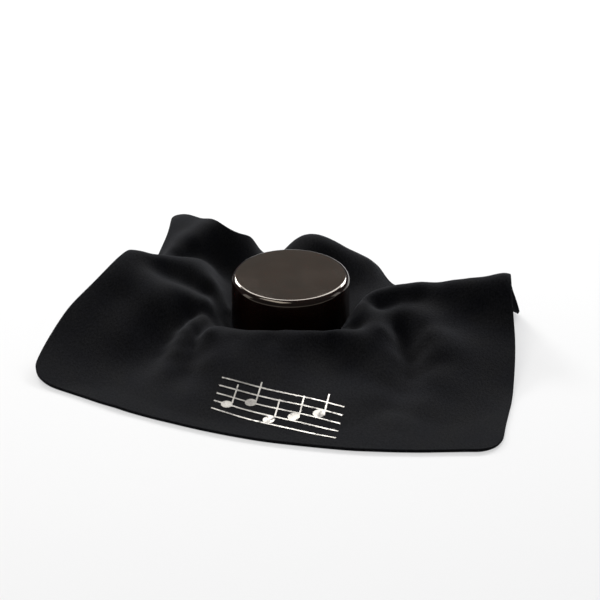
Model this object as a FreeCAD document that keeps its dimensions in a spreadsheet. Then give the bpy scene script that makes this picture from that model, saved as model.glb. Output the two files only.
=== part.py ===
"""Round cake of bow rosin lying in its wrapping cloth.

The cake is a cast disc of rosin with rounded edges.  It stands loose on a rectangular
microfibre cloth that is gathered up around it in folds and spreads out to its edge.  A
foil print lies on the front panel of the cloth.

Frame: +Z up, Z = 0 is the table, the Z axis is the axis of the cake, and -Y is the
front, where the print is.  All sizes are in millimetres.
"""

import FreeCAD, Part
import math
import os

import Sketcher
from FreeCAD import Placement, Rotation, Vector

OUT_FOLDER = "parts"

# ---------------------------------------------------------------- driving dimensions

SIZES = [
    # alias, value, what it is
    ("cake_diameter", 40.0, "outside diameter of the rosin cake"),
    ("cake_height", 18.0, "height of the rosin cake"),
    ("top_edge_radius", 2.0, "rounding of the upper edge of the cake"),
    ("base_edge_radius", 0.8, "rounding of the lower edge of the cake"),
    ("cloth_width", 155.0, "front and back edges of the flat cloth"),
    ("cloth_depth", 145.0, "side edges of the flat cloth"),
    ("cake_to_front", 87.0, "from the cake's axis to the front edge of the flat cloth"),
    ("cloth_thickness", 0.8, "thickness of the cloth"),
    ("seat_clearance", 1.0, "flat seat of the cloth beyond the cake's side, all round"),
    ("foil_thickness", 0.1, "thickness of the foil print"),
    ("print_width", 42.0, "length of the lines of the print"),
    ("line_width", 0.5, "width of one line of the print"),
    ("line_pitch", 3.4, "distance between two lines of the print"),
    ("print_left", 4.5, "middle of the print to the left of the cake's axis"),
    ("print_forward", 60.0, "middle of the print in front of the cake's axis"),
    ("print_turn", -20.0, "turn of the print about Z, in degrees"),
    ("stem_length", 9.0, "length of a note's stem"),
]

# The folds of the gathered cloth, once round the cake, as they lie for a cloth of this
# width, this depth and this distance from the cake's axis to its front edge.
LAID_CLOTH = (155.0, 145.0, 87.0)

# name, bearing on the flat cloth in degrees from +X, where its edge lies (x, y) and how
# high, gap from the cake to the rim, height of the rim
FOLDS = [
    ("front", 270, -9, -75.6, 0, 6, 11.9),
    ("front_right", 289, 20.5, -81.2, 0, 6.8, 11.8),
    ("right_corner_start", 300, 41, -82, 0, 9, 11.4),
    ("front_right_corner", 311.5, 61.5, -77, 0, 12.5, 10.5),
    ("right_corner_end", 319.5, 67.5, -63, 0, 14, 9.5),
    ("right_side", 325.5, 71.6, -47, 1.2, 11, 10),
    ("right_slope", 340, 74, -24, 9.2, 6, 12),
    ("right_ridge", 358, 74, -0.9, 18.4, 9, 14.5),
    ("behind_right_ridge", 7.5, 76.5, 2.8, 8, 13, 9),
    ("right_foot", 13, 78, 5.5, 0, 14, 6),
    ("right_back", 25, 75, 15, 0, 13, 4.5),
    ("back_right_corner", 37, 67.5, 23, 0, 13, 4),
    ("back_corner_end", 44, 56, 24.5, 0.2, 13.5, 4.5),
    ("back_right", 49, 47, 24.8, 0.4, 14.5, 5),
    ("back_tuck", 57, 36.5, 27.2, 0.6, 16, 6.5),
    ("back_fold_start", 64, 28.5, 35.5, 1.4, 19, 9.4),
    ("back_fold", 72, 19, 45.5, 1.8, 19, 12.4),
    ("back_fold_end", 82, 9, 51, 1.4, 19.5, 13.6),
    ("back_dip", 101.5, -7, 50, 0.2, 15, 5),
    ("flap_foot", 107, -11, 44.5, 5.5, 13, 6.5),
    ("flap_inner", 111.5, -14.5, 39, 11.5, 12, 9.5),
    ("flap_top", 120.5, -22.5, 36, 18.2, 12, 12),
    ("flap_edge", 131, -31, 44.5, 16.4, 13, 12),
    ("back_left_corner", 143, -40, 51.4, 14.8, 14, 10.6),
    ("flap_side", 155, -44.2, 40.5, 12, 13, 9),
    ("flap_side_end", 163, -45.8, 30.5, 9.6, 11, 7),
    ("left_valley", 174, -51, 24, 2.2, 10, 5.5),
    ("left_ridge", 196, -54.5, 12, 21.6, 6, 11.6),
    ("left_rise", 206, -64.2, -1, 17.6, 5, 11.5),
    ("left_slope", 214.5, -73.6, -11, 11.6, 5.5, 11),
    ("left_side", 221.5, -80.5, -23, 4.6, 9.5, 10.4),
    ("front_left_corner", 228.5, -80.5, -35, 0.8, 14, 10.4),
    ("left_corner_end", 233, -70, -47, 0.2, 13, 10.4),
    ("front_left", 240, -56, -56, 0, 10.5, 10.8),
    ("front_half_left", 251, -37, -65.4, 0, 7.5, 11.5),
]

# Heads of the notes, as high as a space of the stave: place along the print, as a share
# of its half width, and number of the line they sit on, from the lowest line.
NOTES = [(-0.78, 1.0), (-0.42, 2.0), (-0.06, 0.5), (0.3, 1.5), (0.66, 2.5)]
STAVE_LINES = 5

# The sketcher's numbers for a circle's centre and for the sketch's own origin.
CENTRE = 3
SKETCH_ORIGIN = (-1, 1)

doc = FreeCAD.newDocument("rosin_cake")


def make_sheet():
    """Puts every driving dimension into the spreadsheet under its alias."""
    sheet = doc.addObject("Spreadsheet::Sheet", "Sizes")
    for row, (alias, value, note) in enumerate(SIZES, start=1):
        sheet.set(f"A{row}", alias)
        sheet.set(f"B{row}", str(value))
        sheet.set(f"C{row}", note)
        sheet.setAlias(f"B{row}", alias)
    doc.recompute()
    return sheet


sheet = make_sheet()


def size(alias):
    """The value of one driving dimension, in millimetres or degrees."""
    return float(sheet.get(alias))


# ---------------------------------------------------------------- rosin cake


def origin_plane(body, role):
    """One of a body's own origin planes."""
    return next(f for f in body.Origin.OriginFeatures if f.Role == role)


def make_cake():
    """The cast disc: a turned outline with rounded edges, standing on the cloth."""
    body = doc.addObject("PartDesign::Body", "RosinCake")
    body.Label = "rosin_cake"
    sketch = body.newObject("Sketcher::SketchObject", "CakeOutline")
    sketch.AttachmentSupport = (origin_plane(body, "XY_Plane"), [""])
    sketch.MapMode = "FlatFace"
    circle = Part.Circle(Vector(0, 0, 0), Vector(0, 0, 1), size("cake_diameter") / 2)
    side = sketch.addGeometry(circle, False)
    sketch.addConstraint(Sketcher.Constraint("Coincident", side, CENTRE, *SKETCH_ORIGIN))
    diameter = sketch.addConstraint(
        Sketcher.Constraint("Diameter", side, size("cake_diameter"))
    )
    sketch.setExpression(f"Constraints[{diameter}]", "Sizes.cake_diameter")
    pad = body.newObject("PartDesign::Pad", "CakePad")
    pad.Profile = sketch
    pad.setExpression("Length", "Sizes.cake_height")
    doc.recompute()
    top, base = round_edges(pad.Shape)
    rounded_top = body.newObject("PartDesign::Fillet", "TopRounding")
    rounded_top.Base = (pad, [top])
    rounded_top.setExpression("Radius", "Sizes.top_edge_radius")
    doc.recompute()
    top, base = round_edges(rounded_top.Shape)
    rounded_base = body.newObject("PartDesign::Fillet", "BaseRounding")
    rounded_base.Base = (rounded_top, [base])
    rounded_base.setExpression("Radius", "Sizes.base_edge_radius")
    body.setExpression("Placement.Base.z", "Sizes.cloth_thickness")
    return body


def round_edges(shape):
    """Names of the highest and the lowest circular edge of a turned shape."""
    rings = [
        (e.CenterOfMass.z, f"Edge{n}")
        for n, e in enumerate(shape.Edges, start=1)
        if isinstance(e.Curve, Part.Circle) and e.Closed
    ]
    return max(rings)[1], min(rings)[1]


# ---------------------------------------------------------------- wrapping cloth


def flat_reach(bearing, cloth):
    """Distance from the cake's axis to the edge of a flat cloth in one direction."""
    width, depth, front = cloth
    cosine = math.cos(math.radians(bearing))
    sine = math.sin(math.radians(bearing))
    reaches = []
    if abs(cosine) > 1e-9:
        reaches.append(width / 2 / abs(cosine))
    if abs(sine) > 1e-9:
        reaches.append((depth - front if sine > 0 else front) / abs(sine))
    return min(reaches)


def polar(bearing, radius, height):
    """A point from its bearing in degrees, its distance from the axis and its height."""
    angle = math.radians(bearing)
    return Vector(radius * math.cos(angle), radius * math.sin(angle), height)


def closed_wire(points):
    """A smooth closed wire through the points, level where it is highest or lowest."""
    tangents = []
    for n, point in enumerate(points):
        before = points[n - 1]
        after = points[(n + 1) % len(points)]
        tangent = (after - before) / 2
        rise = point.z - before.z
        next_rise = after.z - point.z
        turns_back = rise * next_rise <= 0
        tangent.z = 0.0 if turns_back else 2 * rise * next_rise / (rise + next_rise)
        tangents.append(tangent)
    spans = []
    for n, end in enumerate(points):
        start = points[n - 1]
        span = Part.BezierCurve()
        span.setPoles([start, start + tangents[n - 1] / 3, end - tangents[n] / 3, end])
        spans.append(span.toShape())
    return Part.Wire(spans)


def folded_skin(height):
    """The folded surface with its seat at one height: its faces and its outer wire."""
    cake_radius = size("cake_diameter") / 2
    cloth = (size("cloth_width"), size("cloth_depth"), size("cake_to_front"))
    seat, rim, edge = [], [], []
    for _, flat, x, y, edge_height, rim_gap, rim_height in FOLDS:
        laid = math.degrees(math.atan2(y, x))
        longer = flat_reach(flat, cloth) - flat_reach(flat, LAID_CLOTH)
        seat.append(polar(laid, cake_radius + size("seat_clearance"), height))
        rim.append(polar(laid, cake_radius + rim_gap, height + rim_height))
        edge.append(polar(laid, math.hypot(x, y) + longer, height + edge_height))
    seat_wire, rim_wire, edge_wire = [closed_wire(points) for points in (seat, rim, edge)]
    faces = [Part.Face(seat_wire)]
    faces += Part.makeRuledSurface(seat_wire, rim_wire).Faces
    faces += Part.makeRuledSurface(rim_wire, edge_wire).Faces
    return faces, edge_wire


def folded_layer(bottom, thickness):
    """A solid layer that follows the folds, of even thickness along Z."""
    lower_faces, lower_wire = folded_skin(bottom)
    upper_faces, upper_wire = folded_skin(bottom + thickness)
    band = Part.makeRuledSurface(lower_wire, upper_wire).Faces
    shell = Part.makeShell(lower_faces + upper_faces + band)
    shell.sewShape()
    solid = Part.Solid(shell)
    if solid.Volume < 0:
        solid.reverse()
    return solid


def make_cloth():
    """The gathered cloth as one thin closed solid, lying on the table."""
    cloth = doc.addObject("Part::Feature", "WrapCloth")
    cloth.Label = "wrap_cloth"
    cloth.Shape = folded_layer(0.0, size("cloth_thickness"))
    return cloth


# ---------------------------------------------------------------- foil print


def print_prisms():
    """The print as upright prisms: a stave of five lines with five notes."""
    half = size("print_width") / 2
    width, pitch = size("line_width"), size("line_pitch")
    tall = size("cake_height") * 2
    lowest = -(STAVE_LINES - 1) / 2 * pitch
    blocks = []
    for line in range(STAVE_LINES):
        corner = Vector(-half, lowest + line * pitch - width / 2, 0)
        blocks.append(Part.makeBox(2 * half, width, tall, corner))
    head = pitch / 2
    for share, line in NOTES:
        middle = Vector(share * half, lowest + line * pitch, 0)
        blocks.append(Part.makeCylinder(head, tall, middle))
        stem = middle + Vector(head - width, 0, 0)
        blocks.append(Part.makeBox(width, size("stem_length"), tall, stem))
    prisms = blocks[0].multiFuse(blocks[1:]).removeSplitter()
    middle = Vector(-size("print_left"), -size("print_forward"), 0)
    prisms.Placement = Placement(middle, Rotation(Vector(0, 0, 1), size("print_turn")))
    return prisms


def make_print():
    """The foil: the print's prisms where they cross a thin layer on the cloth."""
    layer = folded_layer(size("cloth_thickness"), size("foil_thickness"))
    foil = doc.addObject("Part::Feature", "FoilPrint")
    foil.Label = "foil_print"
    foil.Shape = Part.makeCompound(layer.common(print_prisms()).Solids)
    return foil


# ---------------------------------------------------------------- document and export


def check(parts):
    """Stops the build if a feature failed or a sub-part isn't a valid closed solid."""
    for item in doc.Objects:
        bad = [state for state in item.State if state in ("Invalid", "Error")]
        if bad:
            raise RuntimeError(f"{item.Name} is {bad}")
    for part in parts:
        shape = part.Shape
        if shape.isNull() or not shape.isValid() or not shape.Solids:
            raise RuntimeError(f"{part.Label} has no valid solid")


def export(parts):
    """Writes each sub-part to a STEP file named after its label."""
    os.makedirs(OUT_FOLDER, exist_ok=True)
    for part in parts:
        part.Shape.exportStep(os.path.join(OUT_FOLDER, part.Label + ".step"))
        box = part.Shape.BoundBox
        print(
            f"{part.Label}: {len(part.Shape.Solids)} solid(s), "
            f"{part.Shape.Volume:.1f} mm3, z {box.ZMin:.2f} to {box.ZMax:.2f}"
        )


parts = [make_cake(), make_cloth(), make_print()]
doc.recompute()
check(parts)
export(parts)
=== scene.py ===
import math

import bpy
import numpy as np
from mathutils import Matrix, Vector
from mathutils.bvhtree import BVHTree
from mathutils.geometry import barycentric_transform


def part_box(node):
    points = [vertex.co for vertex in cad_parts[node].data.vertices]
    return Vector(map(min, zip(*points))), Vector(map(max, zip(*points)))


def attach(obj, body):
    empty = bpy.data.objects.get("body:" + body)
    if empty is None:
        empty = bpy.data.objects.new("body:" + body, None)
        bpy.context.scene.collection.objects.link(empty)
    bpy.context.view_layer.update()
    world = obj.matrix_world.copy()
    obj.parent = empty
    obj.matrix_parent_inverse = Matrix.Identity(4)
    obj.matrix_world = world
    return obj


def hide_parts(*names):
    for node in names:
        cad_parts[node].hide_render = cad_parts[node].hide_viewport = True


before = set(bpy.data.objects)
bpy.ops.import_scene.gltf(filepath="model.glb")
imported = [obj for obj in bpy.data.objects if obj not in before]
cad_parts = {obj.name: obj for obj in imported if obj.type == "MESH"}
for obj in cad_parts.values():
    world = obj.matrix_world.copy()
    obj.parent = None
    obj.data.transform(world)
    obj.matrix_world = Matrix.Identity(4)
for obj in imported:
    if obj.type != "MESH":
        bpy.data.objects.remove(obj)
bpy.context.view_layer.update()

mm = 0.001
tiny = 1e-9                     # keeps a division or a logarithm off zero
levelSlack = 0.001 * mm         # points this near a level count as on it
scene = bpy.context.scene
scene.view_settings.view_transform = "Standard"

cakeLow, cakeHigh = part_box("rosin_cake")
foilLow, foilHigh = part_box("foil_print")
cakeRadius = (cakeHigh.x - cakeLow.x) / 2
cakeHeight = cakeHigh.z - cakeLow.z
seatHeight = cakeLow.z


def deselectAll():
    if bpy.context.object and bpy.context.object.mode != "OBJECT":
        bpy.ops.object.mode_set(mode="OBJECT")
    bpy.ops.object.select_all(action="DESELECT")


def pick(piece):
    deselectAll()
    piece.select_set(True)
    bpy.context.view_layer.objects.active = piece


def editAll(piece):
    pick(piece)
    bpy.ops.object.mode_set(mode="EDIT")
    bpy.ops.mesh.select_all(action="SELECT")


def leaveEdit():
    bpy.ops.object.mode_set(mode="OBJECT")


def applyModifiers(piece):
    pick(piece)
    for modifier in list(piece.modifiers):
        bpy.ops.object.modifier_apply(modifier=modifier.name)


def meshPoints(mesh):
    points = np.empty(len(mesh.vertices) * 3)
    mesh.vertices.foreach_get("co", points)
    return points.reshape(-1, 3)


def movePoints(mesh, points):
    flatList = np.ascontiguousarray(points, dtype=np.float32).ravel()
    mesh.vertices.foreach_set("co", flatList)
    mesh.update()


# camera, lights and room

view = {
    "aim": (3.2 * mm, 0.0, 9 * mm),
    "distance": 0.700,
    "above": 28.5,              # degrees above the table
    "lens": 123.9,
    "sensor": 36,
    "nearest": 0.01,
}
lookDown = math.radians(view["above"])
deselectAll()
bpy.ops.object.camera_add(
    location=(
        view["aim"][0],
        view["aim"][1] - view["distance"] * math.cos(lookDown),
        view["aim"][2] + view["distance"] * math.sin(lookDown),
    ),
    rotation=(math.radians(90) - lookDown, 0, 0),
)
scene.camera = bpy.context.object
scene.camera.name = "tableCamera"
scene.camera.data.lens = view["lens"]
scene.camera.data.sensor_width = view["sensor"]
scene.camera.data.clip_start = view["nearest"]

lights = {
    # name: place, size, energy in watts, colour; each faces the cake
    "softAbove": ((-0.16, -0.08, 0.60), (0.42, 0.20), 1.8, (1.0, 0.98, 0.96)),
    "softBehind": ((0.05, 0.63, 0.61), (0.60, 0.24), 4.5, (1.0, 0.99, 0.98)),
    "lowBehindLeft": ((-0.38, 0.68, 0.47), (0.28, 0.20), 5.5, (1.0, 0.99, 0.98)),
    "lowBehindRight": ((0.42, 0.66, 0.47), (0.28, 0.20), 5.5, (0.98, 0.99, 1.0)),
    "cardBehind": ((0.0, 1.30, 0.72), (1.60, 0.50), 0.78, (1.0, 0.89, 0.72)),
    "softLeft": ((-0.80, -0.02, 0.22), (0.25, 0.45), 0.6, (1.0, 0.99, 0.98)),
    "softRight": ((0.80, 0.10, 0.24), (0.25, 0.45), 0.6, (0.97, 0.98, 1.0)),
}
for name, (place, extent, energy, tint) in lights.items():
    deselectAll()
    aim = (Vector((0, 0, 0.01)) - Vector(place)).to_track_quat("-Z", "Y")
    bpy.ops.object.light_add(type="AREA", location=place, rotation=aim.to_euler())
    lamp = bpy.context.object
    lamp.name = name
    lamp.data.shape = "RECTANGLE"
    lamp.data.size, lamp.data.size_y = extent
    lamp.data.energy = energy
    lamp.data.color = tint

room = {
    "seen": (0.94, 0.94, 0.94, 1),      # what shows behind the table
    "fill": (0.80, 0.88, 1.0, 1),       # what lights the cloth's folds and shows in the gloss
    "fillStrength": 0.13,
}
world = bpy.data.worlds.new("paleRoom")
world.use_nodes = True
roomNodes, roomLinks = world.node_tree.nodes, world.node_tree.links
seenRoom = roomNodes["Background"]
seenRoom.inputs["Color"].default_value = room["seen"]
dimRoom = roomNodes.new("ShaderNodeBackground")
dimRoom.inputs["Color"].default_value = room["fill"]
dimRoom.inputs["Strength"].default_value = room["fillStrength"]
whichRoom = roomNodes.new("ShaderNodeMixShader")
ray = roomNodes.new("ShaderNodeLightPath")
roomLinks.new(ray.outputs["Is Camera Ray"], whichRoom.inputs[0])
roomLinks.new(dimRoom.outputs[0], whichRoom.inputs[1])
roomLinks.new(seenRoom.outputs[0], whichRoom.inputs[2])
roomLinks.new(whichRoom.outputs[0], roomNodes["World Output"].inputs["Surface"])
scene.world = world
print("camera and lights are set")


# materials: shared effects first

def newMaterial(name, values):
    material = bpy.data.materials.new(name)
    material.use_nodes = True
    shader = material.node_tree.nodes["Principled BSDF"]
    for socket, value in values.items():
        shader.inputs[socket].default_value = value
    return material, material.node_tree.nodes, material.node_tree.links, shader


def makeUneven():
    # broad soft unevenness: brushed nap, smears in gloss, worn foil
    group = bpy.data.node_groups.new("uneven", "ShaderNodeTree")
    face = group.interface
    face.new_socket("Vector", in_out="INPUT", socket_type="NodeSocketVector")
    for name, start in (("Scale", 100.0), ("Detail", 3.0), ("Low", 0.35), ("High", 0.65)):
        face.new_socket(name, in_out="INPUT", socket_type="NodeSocketFloat").default_value = start
    face.new_socket("Mask", in_out="OUTPUT", socket_type="NodeSocketFloat")
    nodes, links = group.nodes, group.links
    start = nodes.new("NodeGroupInput")
    noise = nodes.new("ShaderNodeTexNoise")
    spread = nodes.new("ShaderNodeMapRange")
    end = nodes.new("NodeGroupOutput")
    links.new(start.outputs["Vector"], noise.inputs["Vector"])
    links.new(start.outputs["Scale"], noise.inputs["Scale"])
    links.new(start.outputs["Detail"], noise.inputs["Detail"])
    links.new(noise.outputs["Fac"], spread.inputs["Value"])
    links.new(start.outputs["Low"], spread.inputs["From Min"])
    links.new(start.outputs["High"], spread.inputs["From Max"])
    links.new(spread.outputs["Result"], end.inputs["Mask"])
    return group


def makeNap():
    # short suede nap: tufts that lie mostly one way over a fine knit
    group = bpy.data.node_groups.new("suedeNap", "ShaderNodeTree")
    face = group.interface
    face.new_socket("Vector", in_out="INPUT", socket_type="NodeSocketVector")
    for name, start in (("Tuft", 2.2), ("Knit", 3.6)):
        face.new_socket(name, in_out="INPUT", socket_type="NodeSocketFloat").default_value = start
    face.new_socket("Tone", in_out="OUTPUT", socket_type="NodeSocketFloat")
    face.new_socket("Height", in_out="OUTPUT", socket_type="NodeSocketFloat")
    nodes, links = group.nodes, group.links
    start = nodes.new("NodeGroupInput")
    lie = nodes.new("ShaderNodeMapping")
    lie.inputs["Scale"].default_value = (1.0, 0.55, 1.0)
    lie.inputs["Rotation"].default_value = (0, 0, math.radians(12))
    tuft = nodes.new("ShaderNodeTexNoise")
    tuft.inputs["Detail"].default_value = 4.0
    tuft.inputs["Roughness"].default_value = 0.62
    knit = nodes.new("ShaderNodeTexVoronoi")
    knit.inputs["Randomness"].default_value = 0.7
    blend = nodes.new("ShaderNodeMath")
    blend.operation = "MULTIPLY_ADD"
    blend.inputs[1].default_value = -0.35
    tone = nodes.new("ShaderNodeMapRange")
    tone.inputs["From Min"].default_value = 0.1
    tone.inputs["From Max"].default_value = 0.55
    end = nodes.new("NodeGroupOutput")
    links.new(start.outputs["Vector"], lie.inputs["Vector"])
    links.new(lie.outputs["Vector"], tuft.inputs["Vector"])
    links.new(start.outputs["Tuft"], tuft.inputs["Scale"])
    links.new(start.outputs["Vector"], knit.inputs["Vector"])
    links.new(start.outputs["Knit"], knit.inputs["Scale"])
    links.new(knit.outputs["Distance"], blend.inputs[0])
    links.new(tuft.outputs["Fac"], blend.inputs[2])
    links.new(blend.outputs[0], tone.inputs["Value"])
    links.new(tone.outputs["Result"], end.inputs["Tone"])
    links.new(blend.outputs[0], end.inputs["Height"])
    return group


uneven = makeUneven()
suedeNap = makeNap()


def addGroup(nodes, group, values):
    node = nodes.new("ShaderNodeGroup")
    node.node_tree = group
    for socket, value in values.items():
        node.inputs[socket].default_value = value
    return node


def mixTones(nodes, links, mask, low, high):
    # a colour mix takes its two colours at sockets 6 and 7 and gives the result at 2
    mix = nodes.new("ShaderNodeMix")
    mix.data_type = "RGBA"
    for socket, tone in ((6, low), (7, high)):
        if isinstance(tone, tuple):
            mix.inputs[socket].default_value = (*tone, 1)
        else:
            links.new(tone, mix.inputs[socket])
    links.new(mask, mix.inputs["Factor"])
    return mix.outputs[2]


def mapTo(nodes, links, mask, low, high):
    spread = nodes.new("ShaderNodeMapRange")
    spread.inputs["To Min"].default_value = low
    spread.inputs["To Max"].default_value = high
    links.new(mask, spread.inputs["Value"])
    return spread.outputs["Result"]


def addBump(nodes, links, shader, height, distance, strength):
    bump = nodes.new("ShaderNodeBump")
    bump.inputs["Distance"].default_value = distance
    bump.inputs["Strength"].default_value = strength
    links.new(height, bump.inputs["Height"])
    links.new(bump.outputs["Normal"], shader.inputs["Normal"])


# the cloth: a flat cut, carried to how it lies round the cake, then left to settle

cloth = {
    "width": 155 * mm,          # front and back edges, flat
    "depth": 145 * mm,          # side edges, flat
    "toFront": 87 * mm,         # cake axis to the front edge, flat
    "corner": 9 * mm,
    "thickness": 0.8 * mm,
    "gridStep": 1.5 * mm,
    "seatTurn": -12.0,          # the cloth is turned about the cake, degrees
    "cakeGap": 0.8 * mm,        # how far the folds stay off the cake
    "raisedFrom": 0.1 * mm,     # cloth this far above the seat counts as a fold
    "gripRing": (18, 8),        # seat spots that turn with the cloth: radius in mm, count
    "seatRings": [(12, 6), (18, 12), (20.5, 16)],   # seat spots that stay down, the same way
    "plateUnit": 100,           # mm, the spline's own unit of length
    "smoothing": 0.5,
    "smooth": 1,
}

# the short settling of the laid cloth
rest = {
    "scale": 10.0,              # the cloth solver works on a sheet ten times as large
    "frames": 8,
    "most": 0.7 * mm,           # no point settles further than this
    "quality": 8,
    "mass": 0.25,
    "stretch": 20,
    "shear": 10,
    "bend": 30,
    "damping": 10,
    "bendDamping": 1,
    "weight": 0.15,             # share of gravity that the cloth feels
    "gap": 0.4 * mm,
    "friction": 20,
    "skin": 0.002,              # around the table and the cake, on the large sheet
    "tableSize": 0.4,
    "cakeSides": 96,
}

# spots of the flat cut (x, y from the cake's axis) and where they lie (x, y), in mm
handles = {
    "frontMiddle": (0, -87, -9, -75.6),
    "frontRight": (30, -87, 20.5, -81.2),
    "frontFarRight": (50, -87, 41, -82),
    "frontRightCorner": (69, -78.5, 58.2, -72.2),
    "frontLeft": (-30, -87, -37, -65.4),
    "frontFarLeft": (-50, -87, -56, -56),
    "frontLeftCorner": (-69, -78.5, -75.2, -35.8),
    "frontHump": (6, -36, 0, -26),
    "frontHumpNearLeft": (-9, -36, -13, -25.6),
    "frontHumpNearRight": (20, -36, 13, -25.6),
    "frontHumpLeft": (-24, -36, -26, -24),
    "frontHumpRight": (34, -34, 26, -24),
    "rightLow": (77.5, -53, 71.6, -47),
    "rightRise": (77.5, -28, 74, -24),
    "rightRidgeEnd": (77.5, -3, 74, -0.5),
    "rightRidgeOut": (58, -1, 54, -2.7),
    "rightRidge": (42, 0, 34, -4.5),
    "rightRidgeIn": (30, -5, 23.5, -10),
    "rightBehind": (77.5, 18, 78, 4.5),
    "rightBack": (77.5, 36, 75, 15),
    "backRightCorner": (68, 48, 65, 21),
    "backFarRight": (50, 58, 47, 24.5),
    "backTuck": (38, 58, 36, 26),
    "backRight": (28, 58, 28.5, 35.5),
    "behindRidge": (48, 20, 45, 10),
    "backFold": (6, 42, 8, 39),
    "backFoldRight": (24, 34, 23, 29),
    "backEdge": (8, 58, 9, 51),
    "backDip": (-12, 58, -7, 50),
    "flapTop": (-34, 58, -22.5, 35.8),
    "flapInner": (-23, 58, -14.5, 39),
    "flapEdge": (-50, 58, -31, 44.5),
    "backLeftCorner": (-71, 51, -39.6, 50.6),
    "flapSide": (-77.5, 36, -44.2, 40.5),
    "leftValley": (-77.5, 8, -51, 24),
    "leftRidgeEnd": (-77.5, -22, -54.5, 12),
    "leftRidgeOut": (-57, -10, -39, 10),
    "leftRidge": (-36, -2, -26, 4.5),
    "leftRise": (-77.5, -38, -64.2, -1),
    "leftSlope": (-77.5, -53, -73.6, -11),
    "leftLow": (-77.5, -68, -80.5, -23),
}

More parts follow.
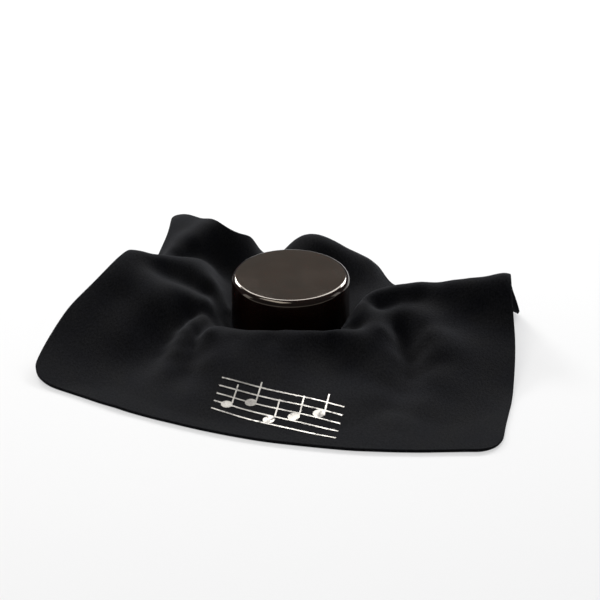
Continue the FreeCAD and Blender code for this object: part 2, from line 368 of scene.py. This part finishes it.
# how high the laid cloth is along its edges, ridges and valleys: (x, y, z) in mm
heights = {
    "frontEdge": [
        (-9, -76, 0.4), (20, -81, 0.4), (41, -82, 0.4), (59, -73, 0.6), (64, -75, 0.6),
        (-37, -65, 0.4), (-56, -56, 0.6), (-70, -44, 1.4),
    ],
    "frontPanel": [
        (-8, -42, 7.6), (-12, -54, 4.2), (-14, -65, 1.6), (8, -56, 4.0), (12, -70, 1.4),
        (-32, -52, 3.0), (48, -55, 3.0), (50, -68, 1.2),
    ],
    "frontHump": [
        (-27.5, -25.8, 12.1), (-23, -26, 12.2), (-19, -26, 12.2), (-15, -26, 12.2), (-11, -26, 12.3),
        (-7, -26, 12.3), (-3, -26, 12.3), (1, -26, 12.3), (5, -26, 12.3), (9, -26, 12.3),
        (13, -26, 12.3), (17, -26, 12.3), (21, -26, 12.3), (25.5, -26, 12.3), (30.5, -25.2, 12.2),
    ],
    "frontHumpFace": [(-18, -30, 11.3), (-6, -30, 11.4), (6, -30, 11.2), (22, -30, 11)],
    "frontHumpBack": [(-12, -23.4, 9.4), (0, -23.6, 9.4), (12, -23.4, 9.4), (22, -21.6, 10)],
    "frontCrease": [
        (12.6, -27.5, 10.8), (13.2, -31, 8.2), (15.5, -36, 6.2), (20.5, -39.5, 5.2), (25, -46, 4),
    ],
    "rightEdge": [(71.6, -47, 1.8), (74, -24, 9.6), (74, -36, 5.0)],
    "rightPanel": [
        (58, -30, 9.2), (56, -44, 5.2), (64, -14, 14.0), (51, -22, 11.2), (50, -38, 7.4),
    ],
    "rightRidge": [
        (20.6, -18, 11.6), (22, -11.5, 13.5), (24.8, -7.3, 15), (28.7, -5, 16.2), (35.4, -4.5, 17.2),
        (43, -3.9, 18), (54, -2.7, 18.6), (61, -2, 19), (68, -1.4, 19.2), (74, -0.9, 18.8),
    ],
    "rightUnderRidge": [(28.5, -10.8, 12), (34, -8.8, 13), (42, -8.2, 14.2), (53, -10, 15)],
    "rightKnob": [(25, -19.5, 12.8), (28, -20.5, 13.4), (31, -19.5, 12.2)],
    "rightArc": [
        (30.5, -14.6, 12.9), (35, -13, 13.1), (39.4, -14.2, 13.3), (43, -18.6, 12.8),
        (44.8, -26, 11.2), (45.8, -34, 8.8),
    ],
    "rightValley": [
        (35, -19.8, 7.8), (38.8, -25, 5), (40.2, -32, 3.2), (38.8, -40, 2.2), (36, -49, 1.4),
        (33, -60, 0.8),
    ],
    "rightApron": [
        (31.5, -27, 9.8), (33.6, -33, 6.8), (28, -33, 8.8), (31, -41, 5.2), (46, -44, 5.6),
        (28, -52, 3.2), (43, -56, 3),
    ],
    "behindRight": [
        (35, 5, 7), (54, 5, 8), (66, 5, 7), (45, 12, 3), (60, 13, 1.6), (78, 4.5, 1), (75, 15, 0.8),
        (65, 21, 0.8), (47, 24.5, 1), (36, 26, 1.2), (28, 8, 5), (24, 0, 5), (30, 16, 4),
    ],
    "backFold": [
        (4, 41, 13), (9.6, 38, 14.5), (16, 35.6, 13), (22, 32.4, 11), (25, 31, 10),
        (28.3, 29.6, 8.6), (31, 29, 5.6), (0.2, 44, 9),
    ],
    "backFoot": [(4, 28.5, 6.5), (13, 26, 5.5), (20, 22, 5.5), (-4, 33, 3), (9, 51, 3), (22, 42, 3)],
    "backDip": [(-7, 50, 0.8), (-8, 40, 1.6), (-11, 30, 3)],
    "flapEdge": [
        (-14.5, 39, 14.2), (-18.6, 38, 18), (-22.5, 36.8, 20.4), (-31, 44.5, 18.2),
        (-39.6, 50.8, 15.9), (-44, 40.5, 13.2), (-45.6, 30.5, 10.6),
    ],
    "flapCrease": [(-27.6, 34, 18), (-33, 31, 16.8), (-39.6, 27, 15), (-45, 23.5, 13.6)],
    "flapValley": [(-38.5, 24, 12.4), (-34.5, 26.5, 12.6), (-29.5, 28, 12.4), (-25.5, 28, 10.8)],
    "flapPanel": [(-38, 40, 16)],
    "leftMound": [(-35, 20, 14.8), (-30, 20, 13.8), (-44, 19, 14.6)],
    "leftGap": [(-51, 24, 3)],
    "backCrease": [(-25, 22, 7.5), (-19.5, 27, 7.0)],
    "leftRidge": [
        (-54.5, 12, 22.4), (-49.7, 12.2, 21.5), (-43.6, 12, 20), (-39, 11.2, 18.6),
        (-35.2, 10.1, 17.4), (-29.5, 7.3, 15.2), (-26, 5, 13),
    ],
    "leftFirstValley": [(-47, 7.8, 18.0), (-41.5, 6.2, 15.4), (-35, 4.2, 13), (-29, 1.6, 10.4)],
    "leftSecondRidge": [
        (-47.8, 1.6, 18.5), (-39.2, -1.4, 15.9), (-34.8, -3.1, 14.7), (-31.5, -4.6, 13.4),
        (-27, -6.4, 11.6),
    ],
    "leftShoulder": [(-36, -6, 13.8), (-42.6, -10.4, 13.4), (-47.6, -15.5, 11), (-52.7, -22.5, 8.2)],
    "leftDeepValley": [
        (-27.4, -9.2, 9.0), (-32.4, -11, 8.4), (-36.6, -15.8, 6.8), (-39.8, -22, 5.2),
        (-41.8, -28.6, 3.8), (-44.6, -35.5, 2.8), (-48, -42, 2),
    ],
    "leftThirdRidge": [
        (-29, -13, 10.4), (-32, -16.6, 10.8), (-34.2, -21, 10.2), (-36, -25.4, 9),
        (-37.4, -30.4, 7.4), (-39, -38, 4.8),
    ],
    "leftThirdValley": [
        (-28.6, -17.6, 8.8), (-30.4, -22, 7.4), (-31.4, -27, 6.2), (-32.2, -33, 4.8), (-33.4, -40, 3.2),
    ],
    "leftLowRidge": [(-26.8, -22.6, 11.2), (-26.4, -30, 10.2), (-27.2, -38, 7.6)],
    "leftPocket": [(-25.6, -13.5, 7), (-24.6, -6, 5.4), (-23.4, 0, 5.4), (-24.4, -18, 9)],
    "leftEdge": [(-64.2, -1, 19.3), (-73.6, -11, 13.2), (-80.5, -23, 6.6)],
    "leftPanel": [(-56, -8, 15), (-64, -18, 10.4), (-70, -30, 4.8)],
}


def cutSheet():
    across = round(cloth["width"] / cloth["gridStep"])
    along = round(cloth["depth"] / cloth["gridStep"])
    deselectAll()
    bpy.ops.mesh.primitive_grid_add(x_subdivisions=across, y_subdivisions=along, size=1)
    piece = bpy.context.object
    piece.name = piece.data.name = "wrappingCloth"
    editAll(piece)
    bpy.ops.transform.resize(value=(cloth["width"], cloth["depth"], 1))
    bpy.ops.transform.translate(value=(0, cloth["depth"] / 2 - cloth["toFront"], 0))
    leaveEdit()
    return piece


def roundCorners(points):
    # squares at the corners are drawn in to quarter circles
    middle = np.array([0, cloth["depth"] / 2 - cloth["toFront"], 0])
    half = np.array([cloth["width"] / 2, cloth["depth"] / 2]) - cloth["corner"]
    local = points - middle
    out = np.maximum(np.abs(local[:, :2]) - half, 0) / cloth["corner"]
    drawn = out * np.sqrt(1 - out[:, ::-1] ** 2 / 2)
    local[:, :2] = np.where(
        out > 0, np.sign(local[:, :2]) * (half + drawn * cloth["corner"]), local[:, :2]
    )
    return local + middle


def plateTerm(distance):
    return np.where(distance > 0, distance**2 * np.log(np.maximum(distance, tiny)), 0.0)


def bendThrough(spots, values, at):
    # bends smoothly through its values at the spots, as a thin plate does; spots are in mm
    spots, values, at = (np.asarray(each, float) for each in (spots, values, at))
    count = len(spots)
    spots, at = spots / cloth["plateUnit"], at / cloth["plateUnit"]
    plate = plateTerm(np.linalg.norm(spots[:, None] - spots[None], axis=2))
    tilt = np.hstack([np.ones((count, 1)), spots])
    system = np.block([[plate, tilt], [tilt.T, np.zeros((3, 3))]])
    ends = np.vstack([values, np.zeros((3, values.shape[1]))])
    weights = np.linalg.solve(system, ends)
    bend = plateTerm(np.linalg.norm(at[:, None] - spots[None], axis=2))
    return bend @ weights[:count] + weights[count] + at @ weights[count + 1:]


def ring(radius, count, turn=0.0):
    angles = [2 * math.pi * step / count + turn for step in range(count)]
    return [(radius * math.cos(angle), radius * math.sin(angle)) for angle in angles]


def keepClear(laid):
    # no fold inside the cake and nothing below the table; laid is in metres
    away = np.hypot(laid[:, 0], laid[:, 1])
    nearest = cakeRadius + cloth["cakeGap"]
    raised = (laid[:, 2] > seatHeight + cloth["raisedFrom"]) & (away < nearest)
    push = np.where(raised, nearest / np.maximum(away, tiny), 1.0)
    laid[:, 0] *= push
    laid[:, 1] *= push
    laid[:, 2] = np.maximum(laid[:, 2], cloth["thickness"] / 2)
    return laid


def layByHand(flat):
    # where each point of the flat cut lies: first in plan, then how high
    turn = math.radians(cloth["seatTurn"])
    grip = cloth["gripRing"]
    spots = [(0, 0)] + ring(*grip) + [spot[:2] for spot in handles.values()]
    places = [(0, 0)] + ring(*grip, turn) + [spot[2:] for spot in handles.values()]
    plan = bendThrough(spots, places, flat[:, :2] / mm)
    under = cloth["thickness"] / mm / 2
    known = [(0, 0, under)]
    for radius, count in cloth["seatRings"]:
        known += [(x, y, under) for x, y in ring(radius, count)]
    for line in heights.values():
        known += line
    known = np.array(known)
    rise = bendThrough(known[:, :2], known[:, 2:], plan)
    return keepClear(np.hstack([plan, rise]) * mm)


def writeCutMap(piece, flat):
    # the piece's own map: where each point is on the flat cut, so the nap follows the cloth
    mesh = piece.data
    spots = np.empty(len(mesh.loops), dtype=np.int32)
    mesh.loops.foreach_get("vertex_index", spots)
    cut = np.stack([
        flat[spots, 0] / cloth["width"] + 0.5,
        (flat[spots, 1] + cloth["toFront"]) / cloth["depth"],
    ], axis=1)
    mesh.uv_layers.active.name = "cut"
    mesh.uv_layers["cut"].data.foreach_set("uv", cut.astype(np.float32).ravel())


def addCollider(piece):
    pick(piece)
    bpy.ops.object.modifier_add(type="COLLISION")
    piece.collision.thickness_outer = rest["skin"]
    piece.collision.cloth_friction = rest["friction"]


def settle(piece):
    # a short rest under a little of its weight, on the table and against the cake
    scale = rest["scale"]
    editAll(piece)
    bpy.ops.transform.resize(value=(scale,) * 3, center_override=(0, 0, 0))
    leaveEdit()
    deselectAll()
    bpy.ops.mesh.primitive_plane_add(size=rest["tableSize"] * scale)
    table = bpy.context.object
    bpy.ops.mesh.primitive_cylinder_add(
        vertices=rest["cakeSides"], radius=cakeRadius * scale, depth=cakeHeight * scale,
        location=(0, 0, (seatHeight + cakeHeight / 2) * scale),
    )
    dummyCake = bpy.context.object
    for collider in (table, dummyCake):
        addCollider(collider)
    pick(piece)
    modifier = piece.modifiers.new("Cloth", "CLOTH")
    setting = modifier.settings
    setting.quality = rest["quality"]
    setting.mass = rest["mass"]
    setting.tension_stiffness = setting.compression_stiffness = rest["stretch"]
    setting.shear_stiffness = rest["shear"]
    setting.bending_stiffness = rest["bend"]
    setting.tension_damping = setting.compression_damping = rest["damping"]
    setting.shear_damping = rest["damping"]
    setting.bending_damping = rest["bendDamping"]
    setting.effector_weights.gravity = rest["weight"]
    modifier.collision_settings.distance_min = rest["gap"] * scale
    modifier.point_cache.frame_end = rest["frames"]
    scene.frame_start, scene.frame_end = 1, rest["frames"]
    for step in range(1, rest["frames"] + 1):
        scene.frame_set(step)
    applyModifiers(piece)
    scene.frame_set(1)
    bpy.data.objects.remove(table, do_unlink=True)
    bpy.data.objects.remove(dummyCake, do_unlink=True)
    editAll(piece)
    bpy.ops.transform.resize(value=(1 / scale,) * 3, center_override=(0, 0, 0))
    leaveEdit()


def flatSpots(mesh):
    # each vertex's place on the flat cut, read back from the map
    spots = np.empty(len(mesh.loops), dtype=np.int32)
    mesh.loops.foreach_get("vertex_index", spots)
    cut = np.empty(len(mesh.loops) * 2)
    mesh.uv_layers["cut"].data.foreach_get("uv", cut)
    cut = cut.reshape(-1, 2)
    flat = np.zeros((len(mesh.vertices), 3))
    flat[spots, 0] = (cut[:, 0] - 0.5) * cloth["width"]
    flat[spots, 1] = cut[:, 1] * cloth["depth"] - cloth["toFront"]
    return flat


wrap = cutSheet()
flatCut = roundCorners(meshPoints(wrap.data))
writeCutMap(wrap, flatCut)
movePoints(wrap.data, layByHand(flatCut))
before = meshPoints(wrap.data)
settle(wrap)
moved = meshPoints(wrap.data) - before
length = np.linalg.norm(moved, axis=1, keepdims=True)
share = np.minimum(1, rest["most"] / np.maximum(length, tiny))
movePoints(wrap.data, before + moved * share)
print("cloth has settled")
editAll(wrap)
bpy.ops.mesh.vertices_smooth(factor=cloth["smoothing"], repeat=cloth["smooth"])
leaveEdit()
movePoints(wrap.data, keepClear(meshPoints(wrap.data)))
finer = wrap.modifiers.new("Finer", "SUBSURF")
finer.levels = finer.render_levels = 1
applyModifiers(wrap)
skinFlat = flatSpots(wrap.data)
skinLaid = meshPoints(wrap.data)
skinNormals = np.empty(len(wrap.data.vertices) * 3)
wrap.data.vertices.foreach_get("normal", skinNormals)
skinNormals = skinNormals.reshape(-1, 3)
wrap.data.calc_loop_triangles()
skinTriangles = [tuple(t.vertices) for t in wrap.data.loop_triangles]

thicken = wrap.modifiers.new("Thick", "SOLIDIFY")
thicken.thickness = cloth["thickness"]
thicken.offset = 0
applyModifiers(wrap)
pick(wrap)
bpy.ops.object.shade_smooth()


def makeClothFinish():
    material, nodes, links, shader = newMaterial("blackSuede", {
        "Roughness": 0.95,
        "Specular IOR Level": 0.05,
        "Sheen Weight": 0.045,
        "Sheen Roughness": 0.50,
        "Sheen Tint": (0.80, 0.82, 0.90, 1),
    })
    cut = nodes.new("ShaderNodeUVMap")
    cut.uv_map = "cut"
    size = nodes.new("ShaderNodeMapping")    # map units become millimetres of cloth
    size.inputs["Scale"].default_value = (cloth["width"] / mm, cloth["depth"] / mm, 1)
    links.new(cut.outputs["UV"], size.inputs["Vector"])
    nap = addGroup(nodes, suedeNap, {"Tuft": 1.6, "Knit": 2.4})
    brushed = addGroup(nodes, uneven, {"Scale": 0.09, "Detail": 4.0, "Low": 0.35, "High": 0.68})
    links.new(size.outputs["Vector"], nap.inputs["Vector"])
    links.new(size.outputs["Vector"], brushed.inputs["Vector"])
    tone = nap.outputs["Tone"]
    fibre = mixTones(nodes, links, tone, (0.0006, 0.0007, 0.0012), (0.0052, 0.0054, 0.0068))
    lifted = mixTones(nodes, links, tone, (0.0010, 0.0010, 0.0012), (0.0074, 0.0074, 0.0078))
    colour = mixTones(nodes, links, brushed.outputs["Mask"], fibre, lifted)
    links.new(colour, shader.inputs["Base Color"])
    addBump(nodes, links, shader, nap.outputs["Height"], 0.25 * mm, 0.5)
    return material


wrap.data.materials.clear()
wrap.data.materials.append(makeClothFinish())
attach(wrap, "cloth")
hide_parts("wrap_cloth")
print("cloth is finished")


# the foil print: five lines and five notes, pressed onto the front panel

foil = {
    "width": 42 * mm,
    "lineWidth": 0.5 * mm,
    "pitch": 3.4 * mm,
    "lines": 5,
    "thickness": 0.08 * mm,
    "stem": 9 * mm,
    "turn": -9.0,               # on the flat cut, degrees
    # each note: place along the print as a share of its half width, and the line it sits on
    "notes": [(-0.78, 1.0), (-0.42, 2.0), (-0.06, 0.5), (0.3, 1.5), (0.66, 2.5)],
    "headSides": 40,
    "headShape": (1.18, 0.84, 1),
    "headTip": -24.0,           # degrees
    "stemOut": 1.08,            # outer side of a stem, in half pitches from the head's middle
    "cutEvery": 1.2 * mm,       # the print is cut this finely so it follows the cloth
    "cutStart": 0.13 * mm,      # off the middle, so that no cut runs along an edge
    "weld": 0.002 * mm,
    "lift": 0.01 * mm,          # clear of the cloth's upper face
    "sharpFrom": 40.0,          # degrees
}


def addBar(low, high):
    # a flat bar between two corners, one foil thick
    deselectAll()
    bpy.ops.mesh.primitive_cube_add(size=1)
    bar = bpy.context.object
    editAll(bar)
    bpy.ops.transform.resize(value=(high[0] - low[0], high[1] - low[1], foil["thickness"]))
    bpy.ops.transform.translate(
        value=((low[0] + high[0]) / 2, (low[1] + high[1]) / 2, foil["thickness"] / 2)
    )
    leaveEdit()
    return bar


def addHead(x, y):
    # a note head: a round, squashed and tipped
    deselectAll()
    bpy.ops.mesh.primitive_cylinder_add(
        vertices=foil["headSides"], radius=foil["pitch"] / 2, depth=foil["thickness"]
    )
    head = bpy.context.object
    editAll(head)
    bpy.ops.transform.resize(value=foil["headShape"])
    tip = math.radians(foil["headTip"])
    bpy.ops.transform.rotate(value=tip, orient_axis="Z", center_override=(0, 0, 0))
    bpy.ops.transform.translate(value=(x, y, foil["thickness"] / 2))
    leaveEdit()
    return head


def makePrint():
    half = foil["width"] / 2
    lowest = -(foil["lines"] - 1) / 2 * foil["pitch"]
    parts = []
    for line in range(foil["lines"]):
        y = lowest + line * foil["pitch"]
        parts.append(addBar((-half, y - foil["lineWidth"] / 2), (half, y + foil["lineWidth"] / 2)))
    for share, line in foil["notes"]:
        x, y = share * half, lowest + line * foil["pitch"]
        parts.append(addHead(x, y))
        side = x + foil["pitch"] / 2 * foil["stemOut"] - foil["lineWidth"]
        parts.append(addBar((side, y), (side + foil["lineWidth"], y + foil["stem"])))
    whole = parts[0]
    whole.name = whole.data.name = "foilStave"
    for part in parts[1:]:
        union = whole.modifiers.new("Union", "BOOLEAN")
        union.operation = "UNION"
        union.solver = "EXACT"
        union.object = part
        applyModifiers(whole)
        bpy.data.objects.remove(part, do_unlink=True)
    editAll(whole)
    for axis, reach in ((0, half), (1, foil["pitch"] * 3 + foil["stem"])):
        steps = int(reach / foil["cutEvery"]) + 1
        for step in range(-steps, steps + 1):
            spot, normal = [0, 0, 0], [0, 0, 0]
            spot[axis], normal[axis] = step * foil["cutEvery"] + foil["cutStart"], 1
            bpy.ops.mesh.select_all(action="SELECT")
            bpy.ops.mesh.bisect(plane_co=spot, plane_no=normal)
    bpy.ops.mesh.select_all(action="SELECT")
    bpy.ops.mesh.remove_doubles(threshold=foil["weld"])
    bpy.ops.mesh.quads_convert_to_tris()
    bpy.ops.mesh.normals_make_consistent(inside=False)
    leaveEdit()
    return whole


def layOnCloth(points, lift):
    # carries points of the flat cut onto the settled cloth, standing proud of it
    flatTree = BVHTree.FromPolygons([Vector(p) for p in skinFlat], skinTriangles)
    laid = []
    for x, y, z in points:
        spot, _, index, _ = flatTree.find_nearest(Vector((x, y, 0)))
        corners = skinTriangles[index]
        flatCorners = [Vector(skinFlat[c]) for c in corners]
        at = barycentric_transform(spot, *flatCorners, *[Vector(skinLaid[c]) for c in corners])
        up = barycentric_transform(spot, *flatCorners, *[Vector(skinNormals[c]) for c in corners])
        laid.append(at + up.normalized() * (z + lift))
    return np.array(laid)


stave = makePrint()
foilMiddle = (foilLow + foilHigh) / 2
nearMiddle = np.argmin(np.hypot(skinLaid[:, 0] - foilMiddle.x, skinLaid[:, 1] - foilMiddle.y))
editAll(stave)
bpy.ops.transform.rotate(
    value=-math.radians(foil["turn"]), orient_axis="Z", center_override=(0, 0, 0)
)
leaveEdit()
flatPrint = meshPoints(stave.data) + skinFlat[nearMiddle]
movePoints(stave.data, layOnCloth(flatPrint, cloth["thickness"] / 2 + foil["lift"]))
pick(stave)
bpy.ops.object.shade_smooth_by_angle(angle=math.radians(foil["sharpFrom"]))


def makeFoilFinish():
    material, nodes, links, shader = newMaterial("pressedFoil", {
        "Metallic": 1.0,
        "IOR": 1.45,
    })
    place = nodes.new("ShaderNodeTexCoord")
    worn = addGroup(nodes, uneven, {"Scale": 700.0, "Detail": 3.0, "Low": 0.30, "High": 0.48})
    cloudy = addGroup(nodes, uneven, {"Scale": 160.0, "Detail": 2.0, "Low": 0.35, "High": 0.65})
    for group in (worn, cloudy):
        links.new(place.outputs["Object"], group.inputs["Vector"])
    dull, bare, fresh = (0.22, 0.21, 0.195), (0.12, 0.115, 0.11), (0.42, 0.405, 0.375)
    bright = mixTones(nodes, links, cloudy.outputs["Mask"], dull, fresh)
    colour = mixTones(nodes, links, worn.outputs["Mask"], bare, bright)
    links.new(colour, shader.inputs["Base Color"])
    links.new(mapTo(nodes, links, worn.outputs["Mask"], 0.60, 0.34), shader.inputs["Roughness"])
    addBump(nodes, links, shader, worn.outputs["Mask"], 0.03 * mm, 0.5)
    return material


stave.data.materials.clear()
stave.data.materials.append(makeFoilFinish())
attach(stave, "cloth")
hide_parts("foil_print")
print("foil print is finished")


# the rosin cake: a poured disc with a faint dish in its top

cake = {
    "sides": 160,
    "topRadius": 2.0 * mm,
    "topSteps": 12,
    "baseRadius": 0.8 * mm,
    "baseSteps": 5,
    "insets": (1.2 * mm, 1.8 * mm, 3.0 * mm, 4.0 * mm, 5.0 * mm),   # rings on both flats
    "dish": 0.05 * mm,
    "dishRadius": 15 * mm,
}


def onLevel(spot, level):
    return abs(spot.z - level) < levelSlack


def selectEdges(piece, wanted):
    editAll(piece)
    bpy.ops.mesh.select_mode(type="EDGE")
    bpy.ops.mesh.select_all(action="DESELECT")
    leaveEdit()
    spots = piece.data.vertices
    for edge in piece.data.edges:
        edge.select = wanted(spots[edge.vertices[0]].co, spots[edge.vertices[1]].co)
    bpy.ops.object.mode_set(mode="EDIT")


def selectFaces(piece, wanted):
    editAll(piece)
    bpy.ops.mesh.select_mode(type="FACE")
    bpy.ops.mesh.select_all(action="DESELECT")
    leaveEdit()
    for face in piece.data.polygons:
        face.select = wanted(face)
    bpy.ops.object.mode_set(mode="EDIT")


def makeCake():
    deselectAll()
    bpy.ops.mesh.primitive_cylinder_add(
        vertices=cake["sides"], radius=cakeRadius, depth=cakeHeight,
        location=(0, 0, seatHeight + cakeHeight / 2),
    )
    piece = bpy.context.object
    piece.name = piece.data.name = "rosinCake"
    bpy.ops.object.transform_apply(location=True, rotation=True, scale=True)
    for level, radius, steps in (
        (cakeHigh.z, cake["topRadius"], cake["topSteps"]),
        (cakeLow.z, cake["baseRadius"], cake["baseSteps"]),
    ):
        selectEdges(piece, lambda a, b: onLevel(a, level) and onLevel(b, level))
        bpy.ops.mesh.bevel(offset=radius, offset_type="OFFSET", segments=steps, profile=0.5)
        leaveEdit()
    for level in (cakeHigh.z, cakeLow.z):
        selectFaces(piece, lambda face: len(face.vertices) > 4 and onLevel(face.center, level))
        for width in cake["insets"]:
            bpy.ops.mesh.inset(thickness=width, depth=0)
        leaveEdit()
    return piece


rosin = makeCake()
cakePoints = meshPoints(rosin.data)
fromAxis = np.hypot(cakePoints[:, 0], cakePoints[:, 1])
inDish = (cakePoints[:, 2] > cakeHigh.z - levelSlack) & (fromAxis < cake["dishRadius"])
sink = cake["dish"] * (1 - (fromAxis / cake["dishRadius"]) ** 2) ** 2
cakePoints[:, 2] -= np.where(inDish, sink, 0)
movePoints(rosin.data, cakePoints)
pick(rosin)
bpy.ops.object.shade_smooth()


def makeRosinFinish():
    material, nodes, links, shader = newMaterial("darkRosin", {
        "IOR": 1.53,
        "Specular Tint": (1.0, 0.88, 0.72, 1),
        "Subsurface Weight": 0.12,
        "Subsurface Radius": (1.0, 0.22, 0.08),
        "Subsurface Scale": 2.0 * mm,
    })
    place = nodes.new("ShaderNodeTexCoord")
    poured = addGroup(nodes, uneven, {"Scale": 55.0, "Detail": 3.0, "Low": 0.30, "High": 0.70})
    smears = addGroup(nodes, uneven, {"Scale": 130.0, "Detail": 4.0, "Low": 0.38, "High": 0.66})
    for group in (poured, smears):
        links.new(place.outputs["Object"], group.inputs["Vector"])
    deep, clear = (0.0030, 0.0008, 0.0008), (0.0080, 0.0024, 0.0012)
    colour = mixTones(nodes, links, poured.outputs["Mask"], deep, clear)
    links.new(colour, shader.inputs["Base Color"])
    links.new(mapTo(nodes, links, smears.outputs["Mask"], 0.06, 0.12), shader.inputs["Roughness"])
    addBump(nodes, links, shader, poured.outputs["Mask"], 0.06 * mm, 0.25)
    return material


rosin.data.materials.clear()
rosin.data.materials.append(makeRosinFinish())
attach(rosin, "cake")
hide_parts("rosin_cake")
print("rosin cake is finished")


# the floor

tableTop = {
    "size": 8,
    "below": 0.15 * mm,         # how far its top is below the cloth
    "glow": 0.57,
}
deselectAll()
bpy.ops.mesh.primitive_plane_add(size=tableTop["size"], location=(0, 0, -tableTop["below"]))
floor = bpy.context.object
floor.name = "paleFloor"
bpy.ops.object.transform_apply(location=True, rotation=True, scale=True)


def makeFloorFinish():
    material, nodes, links, shader = newMaterial("paleTable", {
        "Roughness": 0.8,
        "Specular IOR Level": 0.2,
        "Emission Color": (1, 1, 1, 1),
        "Emission Strength": tableTop["glow"],
    })
    place = nodes.new("ShaderNodeTexCoord")
    tone = addGroup(nodes, uneven, {"Scale": 3.0, "Detail": 2.0, "Low": 0.2, "High": 0.8})
    links.new(place.outputs["Object"], tone.inputs["Vector"])
    low, high = (0.235, 0.235, 0.235), (0.245, 0.245, 0.245)
    colour = mixTones(nodes, links, tone.outputs["Mask"], low, high)
    links.new(colour, shader.inputs["Base Color"])
    return material


floor.data.materials.append(makeFloorFinish())
print("floor is down")
